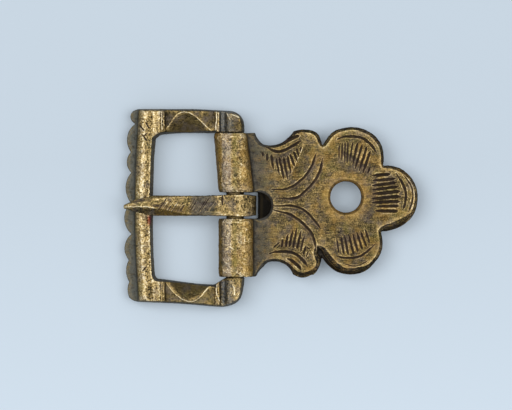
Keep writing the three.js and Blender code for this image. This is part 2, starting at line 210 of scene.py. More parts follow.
# Broad, shallow hollows beside the arcs, and dished ground under the strokes
SWELLS = [
    (0.85, (1.28, 2.76), (3.32, 2.93), (4.76, 3.78), (6.12, 5.04), (7.14, 6.67), (7.81, 8.54)),
    (0.85, (1.96, 1.32), (4.76, 1.47), (6.29, 2.66), (7.74, 4.29), (8.66, 6.33), (9.00, 8.03)),
    (0.85, (1.62, -0.98), (3.15, -1.32), (5.02, -2.44), (6.38, -3.87), (7.30, -5.57), (7.47, -6.93)),
    (0.68, (1.96, 0.04), (3.83, 0.04), (5.53, -0.64), (7.06, -2.10), (8.35, -3.76)),
    (1.53, (12.16, 9.56), (13.86, 8.54), (15.56, 7.18), (17.09, 5.82)),
    (1.70, (17.94, 5.14), (17.51, 2.76), (17.60, 0.21), (16.58, -1.83)),
    (1.53, (11.82, -5.40), (13.86, -5.40), (15.90, -4.38)),
    (1.36, (-0.08, 8.54), (1.62, 7.52), (3.32, 8.20)),
    (1.36, (1.62, -6.42), (3.66, -5.57), (5.36, -6.42)),
]
# Raised border of the upper fan
RIDGES = [
    (0.26, (3.32, 5.59), (3.83, 6.59), (4.27, 7.69), (4.71, 8.54), (5.09, 9.31), (5.43, 10.16),
     (5.56, 10.75), (5.50, 11.43)),
]
# Edges that the hammer turned over: each line follows the outline and widens towards a notch
SKIRTS = [
    (1.00, (23.60, -1.50), (22.95, -2.25), (22.10, -2.88), (21.00, -3.39), (19.98, -3.68), (18.70, -3.87)),
    (0.90, (16.24, -10.39), (15.05, -10.90), (13.91, -11.11), (12.67, -11.11), (11.68, -10.94)),
    (1.60, (13.30, -11.11), (12.30, -11.08), (11.68, -10.94), (10.97, -10.58), (10.34, -10.04),
     (9.71, -9.41), (9.08, -8.63), (8.66, -7.98), (8.32, -7.33), (8.08, -6.67)),
    (0.50, (8.25, -10.16), (7.74, -10.75), (6.55, -11.35), (5.53, -11.52), (4.68, -11.35),
     (3.66, -10.50)),
]
# Where the hammered and the cast outlines leave the drawn ones: places along an outline, and how
# far each moves to the right and up, in millimetres
LEAF_TRUING = [
    # Upper wing and its bite
    (-3.1, 12.6, 0.3, 0.25), (-2.1, 11.5, 0.15, 0.15), (-1.4, 11.0, 0, 0.05), (-0.6, 10.7, 0, 0.15),
    (0.3, 10.6, 0, 0.3), (1.3, 10.7, -0.1, 0.35), (2.3, 11.2, -0.15, 0.35), (3.2, 11.9, -0.2, 0.25),
    (4.0, 13.2, 0, -0.05), (6.0, 13.4, 0, 0.05), (7.4, 12.8, 0.15, 0.35), (7.9, 12.3, 0.25, 0.3),
    (8.8, 11.5, 0, 0),
    # Upper petal
    (10.1, 12.5, -0.1, 0.15), (11.1, 13.2, -0.1, 0.2), (12.7, 13.8, 0, 0), (15.7, 13.5, 0, 0.05),
    (17.8, 12.1, 0.1, 0.1), (18.8, 10.5, 0.15, 0.05), (19.1, 9.0, 0, 0),
    # End petal
    (19.0, 7.7, 0, 0.05), (19.8, 7.2, 0, 0.3), (21.8, 6.5, 0.1, 0.4), (22.9, 5.8, 0.2, 0.35),
    (23.9, 4.6, 0.3, 0.2), (24.6, 3.3, 0.25, 0.1), (24.9, 1.9, 0.1, 0), (24.4, -0.4, 0.1, -0.1),
    (23.9, -1.3, 0.1, -0.1), (22.9, -2.3, 0, 0), (20.7, -3.5, -0.05, 0.1), (19.2, -4.2, 0, 0),
    # Lower petal
    (18.7, -6.6, 0.2, -0.05), (18.3, -7.9, 0.2, -0.15), (17.3, -9.3, 0.15, -0.1),
    (15.7, -10.6, 0.05, -0.1), (13.2, -11.2, 0, 0),
    # Lower wing and its bite
    (8.4, -9.6, 0, 0), (7.7, -10.8, 0, 0), (5.5, -11.5, 0, -0.25), (4.0, -11.2, 0, -0.05),
    (3.5, -10.4, -0.1, -0.1), (2.5, -9.3, -0.15, -0.25), (0.9, -8.8, 0, -0.35), (-0.1, -8.8, 0, -0.3),
    (-1.1, -9.2, 0.2, -0.3), (-1.6, -9.6, 0.35, -0.35), (-2.1, -10.2, 0.35, -0.2), (-2.6, -11.2, 0.1, 0),
]
BAR_TRUING = [
    (-19.60, 11.30, 0.1, 0), (-19.70, 9.50, -0.15, 0), (-19.70, 6.50, -0.26, 0),
    (-19.70, 3.00, -0.36, 0), (-19.70, -2.00, -0.42, 0), (-19.70, -7.00, -0.35, 0),
    (-19.70, -9.50, -0.22, 0), (-19.60, -10.80, -0.08, 0),
]
FRAME_TRUING = [
    # Inner side of the upper arm
    [(-19.50, 11.60, 0, 0), (-19.10, 12.30, 0.1, -0.3), (-18.40, 12.60, 0, -0.36),
     (-17.70, 12.75, 0, -0.22), (-16.40, 12.80, 0, -0.17), (-15.50, 12.80, 0, -0.08),
     (-12.40, 12.80, 0, -0.06), (-11.00, 12.80, 0, -0.12), (-9.90, 12.80, 0, -0.08), (-9.30, 12.80, 0, 0)],
    # Inner side of the lower arm
    [(-19.50, -11.20, 0, 0), (-19.10, -11.70, 0, -0.24), (-17.10, -11.95, 0, -0.23),
     (-15.00, -12.25, 0, -0.3), (-13.30, -12.45, 0, -0.34), (-11.60, -12.65, 0, -0.27),
     (-10.30, -12.80, 0, -0.16), (-9.30, -12.70, 0, -0.04), (-8.60, -12.50, 0, 0)],
    # Lower end of the lip and the roll
    [(-24.40, -13.60, 0, 0), (-24.00, -14.90, -0.1, -0.35), (-23.20, -15.60, 0, -0.3),
     (-21.80, -15.80, 0, -0.22), (-19.50, -15.95, 0, -0.18), (-18.20, -16.05, 0, -0.1),
     (-17.20, -16.10, 0, 0)],
    # Lower corner at the hinge
    [(-7.50, -16.40, 0, 0), (-6.40, -16.20, 0.03, -0.15), (-5.60, -15.80, 0.12, -0.22),
     (-5.10, -15.30, 0.14, -0.15), (-4.80, -14.60, 0.02, -0.05), (-4.60, -13.80, -0.1, 0),
     (-4.50, -13.00, -0.08, 0), (-4.50, -12.60, 0, 0)],
]


def file_marks():
    """Slanting file marks across the pin's flat top."""
    marks = []
    for number in range(19):
        x = -19.3 + 0.47 * number + 0.13 * math.sin(4.1 * number)
        slip = 0.3 * math.sin(2.4 * number)
        low, high = -0.6 + slip, 1.15 + 0.7 * math.sin(1.3 * number)
        marks.append((0.16 + 0.06 * math.sin(1.7 * number), (x, low), (x + 0.62 * (high - low), high)))
    return marks


def linear(hex_colour):
    """An sRGB hex colour as the linear red, green, blue and alpha that the shaders take."""
    parts = [int(hex_colour[i:i + 2], 16) / 255 for i in (1, 3, 5)]
    return tuple(c / 12.92 if c <= 0.04045 else ((c + 0.055) / 1.055) ** 2.4 for c in parts) + (1.0,)


def add(tree, kind, inputs=(), **settings):
    """Adds a node with its settings, and fills or links its inputs, which are given in their order or
    by name or number. A node that is given stands for its output in use."""
    made = tree.nodes.new(kind)
    for name, value in settings.items():
        setattr(made, name, value)
    for key, value in inputs.items() if isinstance(inputs, dict) else enumerate(inputs):
        if isinstance(key, str):
            socket = next(s for s in made.inputs if s.name == key and s.enabled)
        else:
            socket = made.inputs[key]
        if isinstance(value, bpy.types.Node):
            value = out(value)
        if isinstance(value, bpy.types.NodeSocket):
            tree.links.new(value, socket)
        else:
            socket.default_value = value
    return made


def out(made, name=None):
    """The output of a node that is in use, by name where it has several."""
    return next(s for s in made.outputs if s.enabled and (name is None or s.name == name))


def length(name, description, millimetres):
    """A property that holds a length."""
    return FloatProperty(name=name, description=description, default=millimetres * MM, min=0,
                         precision=5, subtype="DISTANCE", unit="LENGTH")


class FrameSettings(bpy.types.PropertyGroup):
    grid: length("Grid", "Spacing of the mesh that carries the casting's relief", 0.1)
    pit_size: length("Pit size", "Spacing of the casting pits", 0.32)
    pit_depth: length("Pit depth", "Depth of the deepest casting pits", 0.08)
    waviness: length("Waviness", "How far the hand-finished faces wander from flat", 0.07)
    grain: length("Grain", "Height of the casting skin's fine bumps", 0.06)
    wrinkle: length("Wrinkle", "Height of the low ridges in the casting skin", 0.02)
    groove_depth: length("Groove depth", "Depth of the widest scratches", 0.2)


class PinSettings(bpy.types.PropertyGroup):
    grid: length("Grid", "Spacing of the mesh that carries the pin's hammer marks", 0.09)
    pit_size: length("Pit size", "Spacing of the pits", 0.4)
    pit_depth: length("Pit depth", "Depth of the deepest pits", 0.05)
    waviness: length("Waviness", "How far the hammered faces wander from flat", 0.08)
    grain: length("Grain", "Height of the forged skin's fine bumps", 0.05)
    wrinkle: length("Wrinkle", "Height of the low ridges in the forged skin", 0.05)
    groove_depth: length("Groove depth", "Depth of the widest file marks", 0.2)


class PlateSettings(bpy.types.PropertyGroup):
    grid: length("Grid", "Spacing of the mesh that carries the engraving", 0.1)
    pit_size: length("Pit size", "Spacing of the pits", 0.45)
    pit_depth: length("Pit depth", "Depth of the deepest pits", 0.05)
    waviness: length("Waviness", "How far the hammered sheet wanders from flat", 0.08)
    grain: length("Grain", "Height of the rolled tubes' fine bumps", 0.06)
    wrinkle: length("Wrinkle", "Height of the low ridges on the tubes", 0.1)
    groove_depth: length("Groove depth", "Depth of the graver's widest strokes", 0.24)


class StageSettings(bpy.types.PropertyGroup):
    floor_colour: FloatVectorProperty(
        name="Floor colour", description="Colour of the pale table",
        default=linear("#CBD6DE")[:3], min=0, max=1, size=3, subtype="COLOR")
    camera_height: length("Camera height", "Height of the camera over the leaf's face", 600)
    view_width: length("View width", "Width that the picture takes in at the leaf's face", 87.04)


def relief_tree(name, lines):
    """Geometry nodes that give a smooth body its pits, dents, wrinkles and cuts.

    The body and all sizes are in millimetres, and lines names the curve objects that it
    takes. The tree also stores what the patina follows: 'wear' and 'hollow' say how convex a
    point is over a short and a long reach, 'up' how far it faces the sky, 'crest' and 'pits'
    where the wrinkles and the pits are, and 'cut', 'rim' and 'skirt' how far inside a stroke,
    a ridge or a turned edge a point lies, from 1 at its middle through 0 at its side.
    """
    tree = bpy.data.node_groups.new(name, "GeometryNodeTree")
    face = tree.interface
    face.new_socket("Geometry", in_out="INPUT", socket_type="NodeSocketGeometry")
    for label in ("Pit size", "Pit depth", "Waviness", "Grain", "Wrinkle", "Groove depth", "Smooth beyond",
                  "Marks above", "Seed"):
        face.new_socket(label, in_out="INPUT", socket_type="NodeSocketFloat")
    for label in lines:
        face.new_socket(label, in_out="INPUT", socket_type="NodeSocketObject")
    face.new_socket("Material", in_out="INPUT", socket_type="NodeSocketMaterial")
    face.new_socket("Geometry", in_out="OUTPUT", socket_type="NodeSocketGeometry")
    given = add(tree, "NodeGroupInput").outputs
    place = add(tree, "GeometryNodeInputPosition")
    facing = add(tree, "GeometryNodeInputNormal")
    axes = add(tree, "ShaderNodeSeparateXYZ", [place]).outputs
    shifted = add(tree, "ShaderNodeVectorMath", [place, given["Seed"]], operation="ADD")
    plan = add(tree, "ShaderNodeCombineXYZ", [axes["X"], axes["Y"]])
    smooth = {"interpolation_type": "SMOOTHSTEP"}
    on_points = {"data_type": "FLOAT", "domain": "POINT"}

    # A line cut by hand sways a little
    sway = add(tree, "ShaderNodeTexNoise", {"Vector": shifted, "Scale": 1.4, "Detail": 1.0})
    sway = add(tree, "ShaderNodeVectorMath", [out(sway, "Color"), (0.5, 0.5, 0.5)], operation="SUBTRACT")
    plan = add(tree, "ShaderNodeVectorMath", [sway, (0.2, 0.2, 0), plan], operation="MULTIPLY_ADD")

    # Lines mark only the faces that look up and lie above the given height
    upward = add(tree, "ShaderNodeSeparateXYZ", [facing]).outputs["Z"]
    above = add(tree, "ShaderNodeMath", [axes["Z"], given["Marks above"]], operation="SUBTRACT")
    upward = add(tree, "ShaderNodeMapRange", [upward, 0.05, 0.35, 0.0, 1.0], **smooth)
    above = add(tree, "ShaderNodeMapRange", [above, 0.0, 0.2, 0.0, 1.0], **smooth)
    reached = add(tree, "ShaderNodeMath", [upward, above], operation="MULTIPLY")

    def inside(label):
        """How far inside the nearest line of an object a point lies in plan, and the line's half width."""
        info = add(tree, "GeometryNodeObjectInfo", {"Object": given[label]}, transform_space="ORIGINAL")
        line = add(tree, "GeometryNodeResampleCurve", {"Curve": out(info, "Geometry"), "Length": 0.05},
                   mode="LENGTH")
        # It starts fine, where the tool enters, and runs out to a point
        along = out(add(tree, "GeometryNodeSplineParameter"), "Factor")
        entry = add(tree, "ShaderNodeMapRange", [along, 0.0, 0.3, 0.55, 1.0], **smooth)
        taper = add(tree, "ShaderNodeMapRange", [along, 0.88, 1.0, 1.0, 0.4], **smooth)
        taper = add(tree, "ShaderNodeMath", [entry, taper], operation="MULTIPLY")
        radius = add(tree, "GeometryNodeInputRadius")
        taper = add(tree, "ShaderNodeMath", [taper, radius], operation="MULTIPLY")
        line = add(tree, "GeometryNodeStoreNamedAttribute",
                   {"Geometry": line, "Name": "half width", "Value": taper}, **on_points)
        wires = add(tree, "GeometryNodeCurveToMesh", {"Curve": line})
        near = add(tree, "GeometryNodeProximity", {"Geometry": wires, "Sample Position": plan},
                   target_element="EDGES")
        nearest = add(tree, "GeometryNodeSampleNearest", {"Geometry": wires, "Sample Position": plan},
                      domain="POINT")
        read = add(tree, "GeometryNodeInputNamedAttribute", {"Name": "half width"}, data_type="FLOAT")
        half = add(tree, "GeometryNodeSampleIndex", {"Geometry": wires, "Value": read, "Index": nearest},
                   **on_points)
        width = add(tree, "ShaderNodeMath", [half, 0.01], operation="MAXIMUM")
        depth = add(tree, "ShaderNodeMath", [out(near, "Distance"), width], operation="DIVIDE")
        depth = add(tree, "ShaderNodeMath", [1.0, depth], operation="SUBTRACT")
        for operation, value in (("MAXIMUM", -2.0), ("ADD", 2.0), ("MULTIPLY", reached), ("SUBTRACT", 2.0)):
            depth = add(tree, "ShaderNodeMath", [depth, value], operation=operation)
        return depth, half

    body = given["Geometry"]
    if "Skirts" in lines:
        turned, half = inside("Skirts")
        turned = add(tree, "ShaderNodeMapRange", [turned, 0.0, 0.75, 0.0, 1.0], **smooth)
        drop = half
        for operation, value in (("MINIMUM", 0.7), ("MULTIPLY", -1.0), ("MULTIPLY", turned)):
            drop = add(tree, "ShaderNodeMath", [drop, value], operation=operation)
        body = add(tree, "GeometryNodeStoreNamedAttribute",
                   {"Geometry": body, "Name": "skirt", "Value": turned}, **on_points)
        drop = add(tree, "ShaderNodeCombineXYZ", {"Z": drop})
        body = add(tree, "GeometryNodeSetPosition", {"Geometry": body, "Offset": drop})

    # What the patina follows is read from the clean shape, before the fine relief
    stored = {}
    for label, turns in (("wear", 16), ("hollow", 90)):
        even = add(tree, "GeometryNodeBlurAttribute", {"Value": place, "Iterations": turns},
                   data_type="FLOAT_VECTOR")
        away = add(tree, "ShaderNodeVectorMath", [place, even], operation="SUBTRACT")
        stored[label] = add(tree, "ShaderNodeVectorMath", [away, facing], operation="DOT_PRODUCT")
    even = add(tree, "GeometryNodeBlurAttribute", {"Value": facing, "Iterations": 9},
               data_type="FLOAT_VECTOR")
    stored["up"] = add(tree, "ShaderNodeSeparateXYZ", [even]).outputs["Z"]

    # The sheet beyond the hinge and the low, sheltered faces are smoother than the rest
    beyond = add(tree, "ShaderNodeMath", [axes["X"], given["Smooth beyond"]], operation="SUBTRACT")
    beyond = add(tree, "ShaderNodeMapRange", [beyond, -0.6, 0.8, 1.0, 0.2], **smooth)
    sheltered = add(tree, "ShaderNodeMapRange", [axes["Z"], 2.6, 3.8, 0.25, 1.0], **smooth)
    roughened = add(tree, "ShaderNodeMath", [beyond, sheltered], operation="MULTIPLY")

    pit_scale = add(tree, "ShaderNodeMath", [1.0, given["Pit size"]], operation="DIVIDE")
    noises = {}
    for label, scale, detail, roughness in (
        ("swell", 0.45, 2.0, 0.5), ("dents", 1.3, 2.0, 0.5), ("grain", 2.6, 2.0, 0.6),
        ("wrinkled", 0.5, 1.0, 0.5), ("crowded", 0.35, 1.0, 0.5), ("pits", pit_scale, 2.0, 0.6),
    ):
        noises[label] = add(tree, "ShaderNodeTexNoise", {
            "Vector": shifted, "Scale": scale, "Detail": detail, "Roughness": roughness})
    swell = add(tree, "ShaderNodeMath", [noises["swell"], noises["dents"]], operation="ADD")
    swell = add(tree, "ShaderNodeMath", [swell, 1.0], operation="SUBTRACT")
    grain = add(tree, "ShaderNodeMath", [noises["grain"], 0.5], operation="SUBTRACT")

    # Wrinkles are low ridges along the borders of warped cells
    warp = add(tree, "ShaderNodeTexNoise", {"Vector": shifted, "Scale": 1.1, "Detail": 2.0})
    bent = add(tree, "ShaderNodeVectorMath", [out(warp, "Color"), shifted], operation="ADD")
    cells = add(tree, "ShaderNodeTexVoronoi", {"Vector": bent, "Scale": 0.85, "Randomness": 1.0},
                feature="DISTANCE_TO_EDGE")
    crest = add(tree, "ShaderNodeMapRange", [out(cells, "Distance"), 0.0, 0.1, 1.0, 0.0], **smooth)
    wrinkled = add(tree, "ShaderNodeMapRange", [noises["wrinkled"], 0.42, 0.62, 0.0, 1.0], **smooth)
    for value in (roughened, wrinkled):
        crest = add(tree, "ShaderNodeMath", [crest, value], operation="MULTIPLY")

    # Pits crowd together in patches
    limit = add(tree, "ShaderNodeMapRange", [noises["crowded"], 0.3, 0.6, 0.6, 0.53], **smooth)
    pits = add(tree, "ShaderNodeMath", [noises["pits"], limit], operation="SUBTRACT")
    pits = add(tree, "ShaderNodeMapRange", [pits, 0.0, 0.07, 0.0, 1.0], **smooth)
    pits = add(tree, "ShaderNodeMath", [pits, roughened], operation="MULTIPLY")

    # A stroke is as deep as it is wide, and throws a low burr up along its side
    cut, half = inside("Strokes")
    share = add(tree, "ShaderNodeMath", [half, 4.0], operation="MULTIPLY")
    share = add(tree, "ShaderNodeMath", [share, given["Groove depth"]], operation="MULTIPLY")
    stroke = add(tree, "ShaderNodeMapRange", [cut, 0.0, 0.8, 0.0, 1.0], **smooth)
    near_side = add(tree, "ShaderNodeMapRange", [cut, -0.9, -0.3, 0.0, 1.0], **smooth)
    far_side = add(tree, "ShaderNodeMapRange", [cut, -0.3, 0.15, 1.0, 0.0], **smooth)
    burr = add(tree, "ShaderNodeMath", [near_side, far_side], operation="MULTIPLY")

    # Each change of height: whether it is added or taken away, and what it is the product of
    stored.update(crest=crest, pits=pits, cut=cut)
    changes = [
        ("ADD", swell, given["Waviness"]), ("ADD", grain, given["Grain"], roughened),
        ("ADD", crest, given["Wrinkle"]), ("SUBTRACT", pits, given["Pit depth"]),
        ("SUBTRACT", stroke, share), ("ADD", burr, share, 0.3),
    ]
    for label, kept, reach, operation, amount in (
        ("Ridges", "rim", 0.8, "ADD", 0.6), ("Swells", "dished", 1.0, "SUBTRACT", 0.24),
    ):
        if label in lines:
            form, half = inside(label)
            stored[kept] = add(tree, "ShaderNodeMapRange", [form, 0.0, reach, 0.0, 1.0], **smooth)
            changes.append((operation, stored[kept], half, amount))
    rise = 0.0
    for operation, amount, *factors in changes:
        for factor in factors:
            amount = add(tree, "ShaderNodeMath", [amount, factor], operation="MULTIPLY")
        rise = add(tree, "ShaderNodeMath", [rise, amount], operation=operation)
    for label, value in stored.items():
        body = add(tree, "GeometryNodeStoreNamedAttribute",
                   {"Geometry": body, "Name": label, "Value": value}, **on_points)

    step = add(tree, "ShaderNodeVectorMath", {0: facing, "Scale": rise}, operation="SCALE")
    body = add(tree, "GeometryNodeSetPosition", {"Geometry": body, "Offset": step})
    body = add(tree, "GeometryNodeRealizeInstances", {"Geometry": body})
    body = add(tree, "GeometryNodeSetMaterial", {"Geometry": body, "Material": given["Material"]})
    add(tree, "NodeGroupOutput", {"Geometry": body})
    return tree


def line_curves(name, rows):
    """Lines as open curves in plan whose radius is half the line's width, in millimetres."""
    data = bpy.data.curves.new(name, "CURVE")
    data.dimensions = "3D"
    for width, *places in rows:
        spline = data.splines.new("NURBS" if len(places) > 2 else "POLY")
        spline.points.add(len(places) - 1)
        for number, (x, y) in enumerate(places):
            spline.points[number].co = (x, y, 0, 1)
            spline.points[number].radius = width / 2
        if len(places) > 2:
            spline.order_u = 3
            spline.use_endpoint_u = True
            spline.resolution_u = 8
    made = bpy.data.objects.new(name, data)
    bpy.context.scene.collection.objects.link(made)
    return made


def fill_inputs(modifier, values):
    """Sets a geometry nodes modifier's inputs by their sockets' identifiers."""
    for item in modifier.node_group.interface.items_tree:
        if item.in_out == "INPUT" and item.name in values:
            modifier[item.identifier] = values[item.name]


def worked(node_name, new_name, settings, material, most, lines, limits, reshape=None):
    """Copies a CAD node in millimetres, remeshes it, gives it its relief and returns the finished piece."""
    build = bmesh.new()
    build.from_mesh(frame["nodes"][node_name].data)
    build.transform(Matrix.Scale(1 / MM, 4))
    bmesh.ops.remove_doubles(build, verts=build.verts, dist=0.001)
    if reshape:
        reshape(build)
    mesh = bpy.data.meshes.new(new_name)
    build.to_mesh(mesh)
    build.free()
    rough = bpy.data.objects.new(new_name + "_work", mesh)
    bpy.context.scene.collection.objects.link(rough)
    remesh = rough.modifiers.new("grid", "REMESH")
    remesh.mode = "VOXEL"
    remesh.voxel_size = settings.grid / MM
    smooth = rough.modifiers.new("worn", "SMOOTH")
    smooth.factor = 0.5
    smooth.iterations = 3
    curves = {label: line_curves(new_name + "_" + label.lower(), rows) for label, rows in lines.items()}
    relief = rough.modifiers.new("relief", "NODES")
    relief.node_group = relief_tree(new_name + " relief", list(lines))
    fill_inputs(relief, {
        "Pit size": settings.pit_size / MM,
        "Pit depth": settings.pit_depth / MM,
        "Waviness": settings.waviness / MM,
        "Grain": settings.grain / MM,
        "Wrinkle": settings.wrinkle / MM,
        "Groove depth": settings.groove_depth / MM,
        "Material": material,
        **limits,
        **curves,
    })
    thin = rough.modifiers.new("thin", "DECIMATE")
    bpy.context.view_layer.update()
    whole = rough.evaluated_get(bpy.context.evaluated_depsgraph_get())
    count = sum(len(polygon.vertices) - 2 for polygon in whole.data.polygons)
    thin.ratio = min(1.0, most / count)
    bpy.context.view_layer.update()
    final = bpy.data.meshes.new_from_object(rough.evaluated_get(bpy.context.evaluated_depsgraph_get()))
    final.name = new_name
    final.transform(Matrix.Scale(MM, 4))
    for vert in final.vertices:
        vert.co.z = max(vert.co.z, 0)
    for polygon in final.polygons:
        polygon.use_smooth = True
    piece = bpy.data.objects.new(new_name, final)
    bpy.context.scene.collection.objects.link(piece)
    for spent in (rough, *curves.values()):
        bpy.data.objects.remove(spent)
    return piece


def bronze(name, looks):
    """Worn copper alloy, bright where it is rubbed and dark where dirt and patina stay; steep faces get
    painted shade, and some of the listed zones, tints and edges paint highlights and shade.
    """
    material = bpy.data.materials.new(name)
    material.use_nodes = True
    tree = material.node_tree
    tree.nodes.clear()
    spot = out(add(tree, "ShaderNodeTexCoord"), "Object")
    axes = add(tree, "ShaderNodeSeparateXYZ", [spot]).outputs
    plan = add(tree, "ShaderNodeCombineXYZ", [axes["X"], axes["Y"]])
    smooth = {"interpolation_type": "SMOOTHSTEP"}
    marks = {}
    for label in ("wear", "hollow", "up", "crest", "pits", "cut", "rim", "dished", "skirt"):
        marks[label] = out(add(tree, "ShaderNodeAttribute", attribute_name=label), "Fac")
    patterns = {}
    for label, size, detail, roughness in (
        ("tarnish", looks["tarnish_size"], 5.0, 0.62), ("mottle", looks["mottle_size"], 3.0, 0.65),
        ("grit", looks["grit_size"], 2.0, 0.6), ("crumbs", 1.1, 2.0, 0.6),
        *((hue, size, 3.0, 0.6) for hue, size, *_ in looks["stains"]),
    ):
        patterns[label] = add(tree, "ShaderNodeTexNoise", {
            "Vector": spot, "Scale": 1 / (size * MM), "Detail": detail, "Roughness": roughness})

    def zone(limits):
        """1 inside all the limits and 0 outside. A limit is an axis, or a centre to be near to, where it is
        0 and where it is 1."""
        inside = 1.0
        for place, zero, one in limits:
            value = axes[place] if isinstance(place, str) else add(
                tree, "ShaderNodeVectorMath", [plan, tuple(c * MM for c in place)], operation="DISTANCE")
            low, high = sorted((zero, one))
            sides = (0.0, 1.0) if zero < one else (1.0, 0.0)
            side = add(tree, "ShaderNodeMapRange", [value, low * MM, high * MM, *sides], **smooth)
            inside = add(tree, "ShaderNodeMath", [inside, side], operation="MULTIPLY")
        return inside

    # Rubbed edges are bright and deep places dark
    polish, deep = marks["wear"], marks["hollow"]
    for operation, value in (("MAXIMUM", -0.02), ("MINIMUM", looks["edge_limit"]),
                             ("MULTIPLY", looks["edge_wear"])):
        polish = add(tree, "ShaderNodeMath", [polish, value], operation=operation)
    for operation, value in (("MULTIPLY", looks["hollow_dirt"]), ("MAXIMUM", -0.3), ("MINIMUM", 0.1)):
        deep = add(tree, "ShaderNodeMath", [deep, value], operation=operation)
    rough = add(tree, "ShaderNodeMath", [zone(looks["calm"]), 0.65], operation="MULTIPLY")
    rough = add(tree, "ShaderNodeMath", [1.0, rough], operation="SUBTRACT")
    # Each change of the polish, and what it is multiplied by
    parts = [(deep, 1.0), (marks["crest"], looks["crest_shine"]), (marks["pits"], -looks["pit_dirt"])]
    for label, amount, share in (("tarnish", looks["blotch"], 1.0), ("mottle", looks["mottle"], rough),
                                 ("grit", looks["speckle"], rough)):
        uneven = add(tree, "ShaderNodeMapRange", [patterns[label], 0.3, 0.7, -amount, amount], **smooth)
        parts.append((uneven, share))
    brushed = 0.0
    for turn, size in looks.get("brushing", ()):
        aim = add(tree, "ShaderNodeMapping", {"Vector": spot, "Rotation": (0, 0, math.radians(turn)),
                                              "Scale": (0.09, 1, 1)})
        scratches = add(tree, "ShaderNodeTexNoise", {
            "Vector": aim, "Scale": 1 / (size * MM), "Detail": 2.0, "Roughness": 0.6})
        brushed = add(tree, "ShaderNodeMath", [brushed, scratches], operation="ADD")
    if "brushing" in looks:
        mark = looks["brush_mark"]
        parts.append((add(tree, "ShaderNodeMapRange", [brushed, 0.75, 1.25, -mark, mark], **smooth), 1.0))
    parts += [(looks["polish"], 1.0), (marks["dished"], -0.1)]
    for value, share in parts:
        polish = add(tree, "ShaderNodeMath", [value, share, polish], operation="MULTIPLY_ADD")
    polish = add(tree, "ShaderNodeMath", [polish, 0.0], operation="MAXIMUM")
    for share, limits in looks["zones"]:
        change = add(tree, "ShaderNodeMath", [zone(limits), share - 1.0, 1.0], operation="MULTIPLY_ADD")
        polish = add(tree, "ShaderNodeMath", [polish, change], operation="MULTIPLY")

    # Burrs beside the strokes, rims and chosen edges shine; a listed edge with a negative amount is darkened
    # instead, as painted shade
    cut, mottle = marks["cut"], patterns["mottle"]
    near_side = add(tree, "ShaderNodeMapRange", [cut, -1.2, -0.5, 0.0, 1.0], **smooth)
    far_side = add(tree, "ShaderNodeMapRange", [cut, -0.35, -0.1, looks["burr_shine"], 0.0], **smooth)
    burr = add(tree, "ShaderNodeMath", [near_side, far_side], operation="MULTIPLY")
    broken = add(tree, "ShaderNodeMapRange", [mottle, 0.35, 0.6, 0.45, 1.0], **smooth)
    parts = [(burr, broken), (marks["rim"], looks["rim_shine"])]
    for low, high, amount, limits in looks["edges"]:
        edge = add(tree, "ShaderNodeMapRange", [marks["hollow"], low, high, 0.0, amount], **smooth)
        parts.append((edge, zone(limits)))
    for value, share in parts:
        polish = add(tree, "ShaderNodeMath", [value, share, polish], operation="MULTIPLY_ADD")
    # Painted shade: steep faces and the sides of the edges are darkened, as far as they turn from the sky
    facing = add(tree, "ShaderNodeMapRange", [marks["up"], *looks["steep_shade"], looks["side"], 1.0], **smooth)
    polish = add(tree, "ShaderNodeMath", [polish, facing], operation="MULTIPLY", use_clamp=True)

    ramp_node = add(tree, "ShaderNodeValToRGB", {"Fac": polish})
    stops = looks["colours"]
    for element, (at, hue) in zip(ramp_node.color_ramp.elements, (stops[0], stops[-1])):
        element.position = at
        element.color = linear(hue)
    for at, hue in stops[1:-1]:
        ramp_node.color_ramp.elements.new(at).color = linear(hue)

    # What lies over the metal's own colour, lowest first: stains, tints, some of which are painted highlights
    # and painted shade on the plate's tubes, then a darker tone on the dished ground and dirt in the strokes,
    # darkest at their bottom, and painted shade on the turned-down edges
    covers = []
    bare = add(tree, "ShaderNodeMapRange", [polish, 0.05, 0.3, 0.15, 1.0], **smooth)
    for hue, _, share, low, high in looks["stains"]:
        stain = add(tree, "ShaderNodeMapRange", [patterns[hue], low, high, 0.0, share], **smooth)
        covers.append((add(tree, "ShaderNodeMath", [stain, bare], operation="MULTIPLY"), hue))
    for hue, share, limits in looks["tints"]:
        tint = add(tree, "ShaderNodeMapRange", [mottle, 0.35, 0.55, 0.4 * share, share], **smooth)
        covers.append((add(tree, "ShaderNodeMath", [zone(limits), tint], operation="MULTIPLY"), hue))
    dished = add(tree, "ShaderNodeMath", [marks["dished"], 0.4], operation="MULTIPLY")
    # Painted shade: the turned-down edges are darkened
    skirt = add(tree, "ShaderNodeMath", [marks["skirt"], 0.7], operation="MULTIPLY")
    groove = add(tree, "ShaderNodeMapRange", [cut, *looks["groove"]], **smooth)
    bottom = add(tree, "ShaderNodeMapRange", [cut, 0.3, 0.9, 0.0, 0.85], **smooth)
    crumbs = add(tree, "ShaderNodeMapRange", [patterns["crumbs"], 0.36, 0.54, 0.65, 1.0], **smooth)
    for operation, value in (("MULTIPLY", crumbs), ("MAXIMUM", skirt)):
        bottom = add(tree, "ShaderNodeMath", [bottom, value], operation=operation)
    covers += [(dished, "#5E514B"), (groove, "#4B3B33"), (bottom, "#1E1B17")]
    colour = out(ramp_node, "Color")
    for mask, hue in covers:
        colour = add(tree, "ShaderNodeMix", {"Factor": mask, "A": colour, "B": linear(hue)}, data_type="RGBA")
    clean = add(tree, "ShaderNodeMath", [groove, bottom], operation="MAXIMUM")
    clean = add(tree, "ShaderNodeMath", [1.0, clean], operation="SUBTRACT")
    polish = add(tree, "ShaderNodeMath", [polish, clean], operation="MULTIPLY", use_clamp=True)

